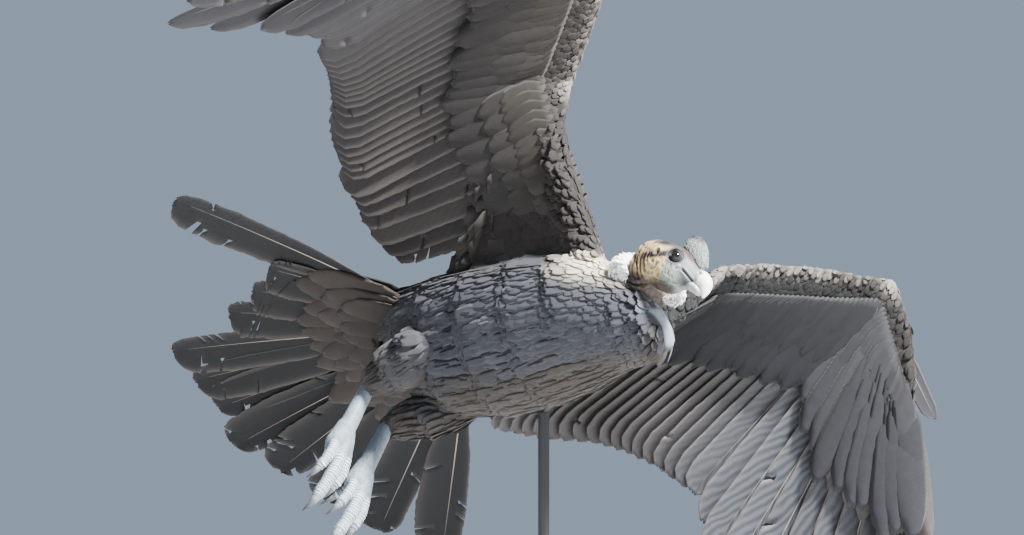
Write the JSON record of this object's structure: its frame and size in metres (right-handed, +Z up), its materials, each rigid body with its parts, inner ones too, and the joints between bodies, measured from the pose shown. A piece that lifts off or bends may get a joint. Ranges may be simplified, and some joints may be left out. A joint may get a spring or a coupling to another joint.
{
  "type": "andean condor figure",
  "caption": "Life-size still figure of a young male Andean condor with raised wings, fanned tail and hanging feet, held on a rod over a round base.",
  "frame": {"origin": "middle of the underside of the round base", "axes": "+Z up along the rod; +X the way the bird flies, which heads 27 degrees from +X towards -Y; +Y away from the side shown in the picture"},
  "size_m": [1.2452, 1.0247, 1.5505],
  "materials": {
    "plumage": "matt grey-brown body feathers",
    "flight_feather": "dull dark brown flight feathers with a faint sheen",
    "down": "matt white down",
    "bare_skin": "wrinkled brown and grey bare skin",
    "comb": "pebbled grey fleshy comb",
    "bill": "horn, ivory towards the tip",
    "eye": "glossy dark brown eye",
    "scute": "pale blue-grey scaled skin",
    "claw": "dark grey horn",
    "stand": "satin dark grey paint on steel"
  },
  "bodies": {
    "root": {"torso": "plumage", "tail": "flight_feather", "head": "bare_skin", "eye_left": "eye", "eye_right": "eye", "bill_upper": "bill", "bill_lower": "bill", "comb": "comb", "neck": "bare_skin", "ruff": "down", "thigh_left": "plumage", "foot_left": "scute", "claw_left_outer": "claw", "claw_left_middle": "claw", "claw_left_inner": "claw", "claw_left_hind": "claw", "wing_left_upper": "plumage", "wing_left_forearm": "flight_feather", "wing_left_hand": "flight_feather", "wing_left_alula": "flight_feather", "thigh_right": "plumage", "foot_right": "scute", "claw_right_outer": "claw", "claw_right_middle": "claw", "claw_right_inner": "claw", "claw_right_hind": "claw", "wing_right_upper": "plumage", "wing_right_forearm": "flight_feather", "wing_right_hand": "flight_feather", "wing_right_alula": "flight_feather", "stand_base": "stand", "stand_rod": "stand"}
  },
  "joints": []
}
